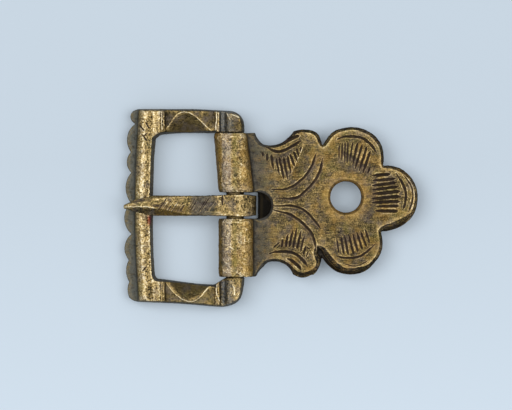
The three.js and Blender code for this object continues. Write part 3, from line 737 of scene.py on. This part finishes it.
    height = add(tree, "ShaderNodeMath", [mottle, patterns["grit"]], operation="ADD")
    height = add(tree, "ShaderNodeMath", [brushed, 0.5, height], operation="MULTIPLY_ADD")
    bump = add(tree, "ShaderNodeBump", {"Strength": looks["bump"], "Distance": 0.04 * MM, "Height": height})
    shader = add(tree, "ShaderNodeBsdfPrincipled", {
        "Base Color": colour,
        "Metallic": add(tree, "ShaderNodeMapRange", [polish, 0.0, 0.3, 0.75, 1.0], **smooth),
        "Roughness": add(tree, "ShaderNodeMapRange", [polish, 0.0, 1.0, 0.62, looks["shine"]], **smooth),
        "Specular IOR Level": 0.3,
        "Normal": bump,
    })
    add(tree, "ShaderNodeOutputMaterial", {"Surface": shader})
    return material


# Sizes in the looks below are in millimetres. The real grit and the lines of the brushing are too
# fine to show in the picture, so both are drawn as coarse as they need to show, at about a fifth
# of a millimetre. A zone is a share of the polish and its limits, a tint is a colour, its strength
# and its limits, and a stain is a colour, its size and strength, and where it begins and is full.

# Sand-cast bronze with its skin on: pitted all over, so it glitters in specks, rubbed bright on
# the bars and the ridges, brown in the scoops and between the mouldings, and with painted shade on the lip,
# deepest beside the roll
CAST = {
    "tarnish_size": 2.4, "mottle_size": 0.6, "grit_size": 0.26,
    "edge_wear": 7.0, "edge_limit": 0.022, "pit_dirt": 0.26, "hollow_dirt": 0.03, "crest_shine": 0.2,
    "rim_shine": 0.46, "burr_shine": 0.2, "blotch": 0.07, "mottle": 0.08, "speckle": 0.24, "polish": 0.63,
    "steep_shade": (0.25, 0.8), "side": 0.5, "shine": 0.48, "bump": 0.35, "groove": (-0.15, 0.35, 0.0, 0.75),
    "edges": [(0.01, 0.05, 0.12, [("X", -22.9, -23.4)])], "calm": [("X", -18.6, -17.6), ("X", -9.2, -9.8)],
    "zones": [
        (0.67, [("X", -18.9, -17.9), ("X", -9.3, -10.0)]),
        (0.65, [((-17.2, 15.3, 0), 1.5, 0.7)]),
        (0.75, [((-10.3, 15.5, 0), 1.5, 0.7)]),
        (0.75, [("X", -9.2, -8.6)]),
        (0.85, [("Z", 3.8, 3.0)]),
        # Painted shade: the low lip is darkened, and more beside the roll
        (0.5, [("X", -22.0, -22.5), ("Z", 3.0, 2.3)]),
        (0.7, [("X", -23.8, -23.2), ("Z", 3.0, 2.3), ("X", -20.0, -22.0)]),
        # The bar between the arms is darkened, partly dirt and partly painted shade between the tubes and the
        # loop
        (0.8, [("X", -8.5, -8.0), ("Y", -12.2, -11.9), ("Y", 13.2, 12.9)]),
        (0.74, [("X", -7.7, -7.1), ("Y", 15.5, 14.7), ("Y", 12.9, 13.2)]),
        (1.25, [((-5.9, -14.4, 0), 1.2, 0.5)]),
    ],
    "stains": [("#6A625E", 1.8, 0.4, 0.48, 0.64), ("#6B6A38", 2.6, 0.25, 0.52, 0.7)],
    "tints": [
        ("#8A2A14", 0.85, [("X", -21.1, -20.6), ("X", -19.9, -20.3), ("Y", -3.3, -2.3), ("Y", -1.0, -1.5),
                          ("Z", 2.2, 2.8)]),
        ("#6C757B", 0.5, [("X", -9.0, -8.5), ("X", -5.6, -7.2), ("Y", 12.9, 13.2), ("Z", 2.6, 3.2)]),
        ("#6C757B", 0.45, [("X", -8.6, -8.0), ("X", -5.8, -7.0), ("Y", -12.1, -12.5), ("Z", 2.6, 3.2)]),
        ("#5C5E58", 0.75, [("X", -21.9, -22.4), ("Z", 3.2, 2.5)]),
    ],
    "colours": [(0.0, "#17140F"), (0.18, "#3A3223"), (0.42, "#72623E"), (0.65, "#A98F5C"), (0.85, "#CDB682"),
                (1.0, "#E5D6B2")],
}
# Hammered bronze rod: dents and file marks over its whole top break its gleam into streaks
FORGED = dict(
    CAST,
    zones=[
        # Painted shade: the pin's low parts, where the loop and the tip curve down, are darkened
        (0.8, [("Z", 4.2, 3.0)]),
        (1.15, [("X", -9.4, -8.6)]),
        (0.58, [("X", -13.9, -12.9), ("X", -9.0, -10.2)]),
        # Painted shade: the lower facet of the tip is darkened
        (0.55, [("X", -18.4, -19.4), ("Y", 0.1, -0.3)]),
    ],
    tints=[("#7A6022", 0.6, [("X", -20.0, -19.0), ("X", -13.5, -15.0), ("Y", 0.6, 0.2)]),
           ("#6E6A62", 0.5, [("X", -13.9, -12.9), ("X", -9.0, -10.2)])],
    polish=0.44, edge_wear=8.0, speckle=0.16, mottle=0.13, steep_shade=(0.1, 0.85), burr_shine=0.3,
    calm=[("Z", 3.0, 2.0)],
)
# Hammered bronze sheet: brushed by wear to a soft sheen, with dirt left in the graver's strokes,
# painted highlights on the tubes, and at the fold a darker strip, partly patina and partly painted shadow of
# the tube
SHEET = dict(
    CAST,
    tarnish_size=3.2, mottle_size=0.7, grit_size=0.22, polish=0.375, blotch=0.06, mottle=0.09, speckle=0.17,
    rim_shine=0.4, burr_shine=0.34, crest_shine=0.25, hollow_dirt=0.4, pit_dirt=0.18, side=0.1,
    steep_shade=(0.2, 0.72),
    brushing=[(12, 0.16), (68, 0.2)], brush_mark=0.09, calm=[("Z", 2.4, 1.4)],
    zones=[
        # Darkened strip at the tubes' feet, partly patina and partly painted shadow of the tube
        (0.64, [("X", -4.9, -4.4), ("X", 1.4, -2.6), ("Z", 4.5, 4.1)]),
        # Painted shade: the back leaf seen through the slot is made nearly black
        (0.02, [("Z", 2.9, 2.6), ("X", -3.0, -2.0)]),
        # Painted highlights on the tubes: their upper halves, and the bands where the right and the left lamp
        # gleam
        (1.25, [("X", -3.0, -3.4), ("Z", 3.8, 4.4)]),
        (1.12, [("X", -5.5, -5.1), ("X", -3.9, -4.3)]),
        (1.2, [("X", -8.4, -8.0), ("X", -6.4, -6.8)]),
        (0.7, [("X", -7.9, -8.3), ("Y", -1.5, -2.0)]),
        (1.16, [(HOLE, 5.2, 3.4)]),
        (0.84, [(HOLE, 3.8, 3.3)]),
        (0.86, [("Y", -8.9, -9.6), ("X", 9.0, 10.5), ("X", 19.0, 17.5)]),
        # Painted shade: the hole's rim and wall are darkened
        (0.3, [(HOLE, 3.06, 2.86)]),
        (0.85, [((16.8, 1.6, 0), 1.8, 0.9)]),
        # Painted highlight on the end petal's right rim
        (1.2, [((17.0, 2.5, 0), 6.7, 7.0), ("X", 20.0, 22.0), ("Y", -3.0, 0.0)]),
        (0.82, [((14.2, 9.0, 0), 4.4, 2.2)]),
        (0.9, [((19.6, 2.8, 0), 3.4, 2.0)]),
        (0.82, [((14.2, -6.2, 0), 4.4, 2.2)]),
        (0.84, [((3.4, 8.6, 0), 4.4, 2.2)]),
        (0.84, [((4.0, -6.0, 0), 2.8, 1.4)]),
    ],
    stains=[
        ("#655C5A", 1.9, 0.35, 0.47, 0.62),
        ("#6F6A30", 2.7, 0.25, 0.5, 0.65),
        ("#A07A36", 2.3, 0.3, 0.48, 0.64),
    ],
    groove=(-0.1, 0.4, 0.0, 0.72),
    edges=[
        (0.006, 0.03, 0.1, [("X", -3.0, -2.4)]),
        (0.03, 0.05, 0.14, [("X", 5.0, 8.0), (HOLE, 4.0, 5.0)]),
        # Painted shade: a dark band along the front leaf's outline
        (0.076, 0.096, -0.7, [("X", -3.0, -2.4)]),
    ],
    tints=[
        ("#8A8078", 0.55, [("X", -8.4, -8.0), ("X", -6.5, -6.9)]),
        ("#7A7034", 0.35, [("X", -6.5, -6.2), ("X", -5.6, -5.9)]),
        # Painted highlights: golden tone on the tubes' gleaming bands
        ("#B0893F", 0.3, [("X", -5.0, -4.6), ("Z", 3.9, 4.4)]),
        ("#B0893F", 0.4, [("X", -8.2, -8.5)]),
        # Grey on the leaf beside the tube, partly patina and partly painted shadow of the tube
        ("#5C5A52", 0.5, [("X", -4.5, -4.1), ("X", 2.5, -2.0), ("Z", 3.0, 3.3), ("Z", 4.5, 4.1)]),
        ("#A88240", 0.3, [(HOLE, 5.0, 3.6)]),
    ],
)

# The hinge's axis and the pin's centre line, in millimetres in plan
AXIS_X = frame["joints"][0]["pos_m"][0] / MM
AXIS_Z = frame["joints"][0]["pos_m"][2] / MM
PIN_Y = frame["joints"][0]["pos_m"][1] / MM


# Ends of the hinge tubes, in millimetres along the axis from the pin's centre line: the place, the
# way the end faces and how far it is drawn out
TUBE_ENDS = ((12.15, 1, 0.17), (2.25, -1, 0.0), (-2.25, 1, 0.0), (-11.95, -1, 0.15))
# Outer radius of the tubes, and how far from the axis the sheet is still part of their roll
TUBE_RADIUS = 2.8
TUBE_REACH = 3.3


def shape_tubes(build):
    """Trues the front leaf's outline, leans the upper tube, draws both tubes out to the frame, squares
    them a little and bevels their ends."""
    for place, side, _ in TUBE_ENDS:
        plane = (0, PIN_Y + place - side * 0.5, 0)
        parts = build.verts[:] + build.edges[:] + build.faces[:]
        bmesh.ops.bisect_plane(build, geom=parts, plane_co=plane, plane_no=(0, 1, 0))
    true_outline([vert for vert in build.verts if vert.co.x > -3 and vert.co.z > 2.5], LEAF_TRUING, 1.4)
    for vert in build.verts:
        across, up, along = vert.co.x - AXIS_X, vert.co.z - AXIS_Z, vert.co.y - PIN_Y
        leaning = ramp(along, TUBE_ENDS[1][0], TUBE_ENDS[0][0])
        if across > TUBE_REACH + 10:
            # The lower petal reaches further down
            vert.co.y -= 0.28 * ramp(vert.co.y, -9.3, -10.5)
        if across > TUBE_REACH or (across > 0 and up < 0):
            continue
        skin = math.hypot(across, up) > TUBE_RADIUS - 0.5
        if skin and up > 0 and across < 2.4:
            # The hammer left flats on the tubes' shoulders
            swell = 0.07 * math.sin(2 * math.atan2(up, abs(across))) ** 2
            vert.co.x += across * swell
            vert.co.z += up * swell
        if skin and across < 0 and along > 0:
            vert.co.x += 0.8 * across / TUBE_RADIUS * leaning
        if skin and across > 0 and up > 0.2:
            vert.co.x += across / TUBE_RADIUS * (0.8 - 1.4 * leaning if along > 0 else 0.68)
        for place, side, stretch in TUBE_ENDS:
            if abs(along - place) < 0.05:
                vert.co.y += side * stretch
                if skin:
                    vert.co.x -= 0.14 * across / TUBE_RADIUS
                    vert.co.z -= 0.18 * up / TUBE_RADIUS


def ramp(value, zero, one):
    """0 up to one value, 1 from the other on, and a straight line between them."""
    return max(0.0, min(1.0, (value - zero) / (one - zero)))


def true_outline(verts, path, far, low_only=False):
    """Moves the points beside a path as the nearest place on the path says, up to a distance."""
    for vert in verts:
        spot, found = Vector(vert.co[:2]), []
        for (x, y, right, up), (next_x, next_y, next_right, next_up) in zip(path, path[1:]):
            step = Vector((next_x - x, next_y - y))
            along = ramp((spot - Vector((x, y))).dot(step), 0, step.length_squared)
            gap = (spot - Vector((x, y)) - step * along).length
            found.append((gap, right + (next_right - right) * along, up + (next_up - up) * along))
        gap, right, up = min(found)
        share = ramp(gap, far, far / 2)
        if low_only:
            share *= ramp(vert.co.z, 2.0, 0.8)
        vert.co.x += right * share
        vert.co.y += up * share


def shape_bar(build):
    """Trues the frame's inner sides and lower corners, bows the roll outwards between its ends, and
    draws the lip and the upper arm out a little."""
    for place in range(-12, 16, 4):
        parts = build.verts[:] + build.edges[:] + build.faces[:]
        bmesh.ops.bisect_plane(build, geom=parts, plane_co=(0, place, 0), plane_no=(0, 1, 0))
    for place in range(-18, -8, 2):
        parts = build.verts[:] + build.edges[:] + build.faces[:]
        bmesh.ops.bisect_plane(build, geom=parts, plane_co=(place, 0, 0), plane_no=(1, 0, 0))
    true_outline(build.verts, BAR_TRUING, 0.8, low_only=True)
    for path in FRAME_TRUING:
        true_outline(build.verts, path, 1.4)
    for vert in build.verts:
        x, y, z = vert.co
        bow = 0.12 - 0.62 * (1 - min(1.0, (y / 15) ** 2))
        vert.co.x += bow * ramp(z, 0.8, 2.0) * ramp(x, -23.2, -22.7) * ramp(x, -19.0, -19.6)
        vert.co.x -= 0.15 * ramp(x, -22.9, -23.7)
        vert.co.y += 0.08 * ramp(y, 14, 15)


def shape_loop(build):
    """Draws the loop's end out to the slot, and spreads the loop a little."""
    for vert in build.verts:
        across, along = vert.co.x - AXIS_X, vert.co.y - PIN_Y
        vert.co.x += 0.38 * ramp(across, 2.2, 3.1)
        vert.co.y += math.copysign(0.2 * ramp(across, -1.5, 0) - 0.25 * ramp(across, 2.5, 3.0), along)


def paper(name, colour):
    """Matt, unglazed paper, so the eye sees an even tone without a gleam, a little lighter towards the
    front. The camera sees a share of it unlit, which lifts the object's shadow."""
    material = bpy.data.materials.new(name)
    material.use_nodes = True
    tree = material.node_tree
    tree.nodes.clear()
    spot = out(add(tree, "ShaderNodeTexCoord"), "Object")
    forward = add(tree, "ShaderNodeSeparateXYZ", [spot]).outputs["Y"]
    # From 8 mm behind the middle of the buckle to 42 mm before it
    lighter = add(tree, "ShaderNodeMapRange", [forward, 8 * MM, -42 * MM, 0.985, 1.1])
    tone = add(tree, "ShaderNodeVectorMath", {0: tuple(colour), "Scale": lighter}, operation="SCALE")
    matt = add(tree, "ShaderNodeBsdfDiffuse", {"Color": tone, "Roughness": 0.5})
    lit = add(tree, "ShaderNodeEmission", {"Color": tone, "Strength": 1.0})
    seen = out(add(tree, "ShaderNodeLightPath"), "Is Camera Ray")
    share = add(tree, "ShaderNodeMath", [seen, UNLIT_SHARE], operation="MULTIPLY")
    mixed = add(tree, "ShaderNodeMixShader", [share, matt, lit])
    add(tree, "ShaderNodeOutputMaterial", {"Surface": mixed})
    return material


class BUCKLE_OT_frame(bpy.types.Operator):
    """Dresses the cast frame with its bar"""
    bl_idname = "buckle.frame"
    bl_label = "Cast frame"

    def execute(self, context):
        metal = bronze("Sand-cast bronze, worn and pitted", CAST)
        piece = worked("frame", "cast_frame", context.scene.buckle_frame, metal, 190000,
                       {"Strokes": FRAME_SCRATCHES, "Ridges": FRAME_RIMS},
                       {"Seed": 3.0, "Smooth beyond": 100.0, "Marks above": 2.0}, reshape=shape_bar)
        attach(piece, "frame")
        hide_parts("frame")
        return {"FINISHED"}


class BUCKLE_OT_pin(bpy.types.Operator):
    """Dresses the hammered and filed pin"""
    bl_idname = "buckle.pin"
    bl_label = "Pin"

    def execute(self, context):
        metal = bronze("Hammered bronze rod, filed", FORGED)
        piece = worked("pin", "forged_pin", context.scene.buckle_pin, metal, 120000,
                       {"Strokes": PIN_SEAM + file_marks(), "Ridges": PIN_RIDGE, "Swells": PIN_FACETS},
                       {"Seed": 11.0, "Smooth beyond": 100.0, "Marks above": 3.0}, reshape=shape_loop)
        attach(piece, "pin")
        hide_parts("pin")
        return {"FINISHED"}


class BUCKLE_OT_plate(bpy.types.Operator):
    """Dresses the folded plate and engraves its front leaf"""
    bl_idname = "buckle.plate"
    bl_label = "Engraved plate"

    def execute(self, context):
        metal = bronze("Hammered bronze sheet, engraved and brushed", SHEET)
        lines = {"Strokes": HATCHING + ARCS, "Swells": SWELLS, "Ridges": RIDGES, "Skirts": SKIRTS}
        piece = worked("plate", "engraved_plate", context.scene.buckle_plate, metal, 195000, lines,
                       {"Seed": 23.0, "Smooth beyond": -3.2, "Marks above": 3.1}, reshape=shape_tubes)
        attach(piece, "plate")
        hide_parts("plate")
        return {"FINISHED"}


class BUCKLE_OT_stage(bpy.types.Operator):
    """Sets the pale table, the soft lamps and the camera straight above"""
    bl_idname = "buckle.stage"
    bl_label = "Table, lamps and camera"

    def execute(self, context):
        settings = context.scene.buckle_stage
        scene = context.scene
        scene.view_settings.view_transform = "Standard"

        corners = [(TABLE_HALF * x, TABLE_HALF * y, 0) for x, y in ((-1, -1), (1, -1), (1, 1), (-1, 1))]
        floor_mesh = bpy.data.meshes.new("table")
        floor_mesh.from_pydata(corners, [], [(0, 1, 2, 3)])
        floor = bpy.data.objects.new("table", floor_mesh)
        floor.location.z = -TABLE_DROP
        scene.collection.objects.link(floor)
        floor_mesh.materials.append(paper("Matt paper, pale blue", settings.floor_colour))

        world = bpy.data.worlds.new("studio")
        world.use_nodes = True
        world.node_tree.nodes["Background"].inputs["Color"].default_value = linear("#EEF2F8")
        world.node_tree.nodes["Background"].inputs["Strength"].default_value = SKY_STRENGTH
        scene.world = world

        for name, place, power, size in LAMPS:
            data = bpy.data.lights.new(name, "AREA")
            data.energy = power
            data.size = size
            data.color = linear("#FBFCFF")[:3]
            lamp = bpy.data.objects.new(name, data)
            lamp.location = place
            lamp.rotation_euler = (-Vector(place)).to_track_quat("-Z", "Y").to_euler()
            scene.collection.objects.link(lamp)

        data = bpy.data.cameras.new("overhead camera")
        camera = bpy.data.objects.new("overhead camera", data)
        data.sensor_fit = "HORIZONTAL"
        data.sensor_width = 36
        data.lens = data.sensor_width * settings.camera_height / settings.view_width
        across, along = PICTURE_MIDDLE
        camera.location = (across * MM, along * MM, settings.camera_height + LEAF_FACE * MM)
        data.clip_start = 0.01
        scene.collection.objects.link(camera)
        scene.camera = camera
        return {"FINISHED"}


class BUCKLE_PT_panel(bpy.types.Panel):
    """Lists the buckle's sizes and the operators that make its pieces"""
    bl_idname = "BUCKLE_PT_panel"
    bl_label = "Strap buckle"
    bl_space_type = "VIEW_3D"
    bl_region_type = "UI"
    bl_category = "Buckle"

    def draw(self, context):
        for operator, settings in (
            ("buckle.frame", context.scene.buckle_frame),
            ("buckle.pin", context.scene.buckle_pin),
            ("buckle.plate", context.scene.buckle_plate),
            ("buckle.stage", context.scene.buckle_stage),
        ):
            box = self.layout.box()
            for name in settings.bl_rna.properties.keys():
                if name not in {"rna_type", "name"}:
                    box.prop(settings, name)
            box.operator(operator)


CLASSES = (
    FrameSettings, PinSettings, PlateSettings, StageSettings,
    BUCKLE_OT_frame, BUCKLE_OT_pin, BUCKLE_OT_plate, BUCKLE_OT_stage, BUCKLE_PT_panel,
)


def register():
    for cls in CLASSES:
        bpy.utils.register_class(cls)
    bpy.types.Scene.buckle_frame = PointerProperty(type=FrameSettings)
    bpy.types.Scene.buckle_pin = PointerProperty(type=PinSettings)
    bpy.types.Scene.buckle_plate = PointerProperty(type=PlateSettings)
    bpy.types.Scene.buckle_stage = PointerProperty(type=StageSettings)


def unregister():
    for name in ("buckle_frame", "buckle_pin", "buckle_plate", "buckle_stage"):
        delattr(bpy.types.Scene, name)
    for cls in reversed(CLASSES):
        bpy.utils.unregister_class(cls)


def main():
    register()
    bpy.ops.buckle.frame()
    bpy.ops.buckle.pin()
    bpy.ops.buckle.plate()
    bpy.ops.buckle.stage()


if __name__ == "__main__":
    main()
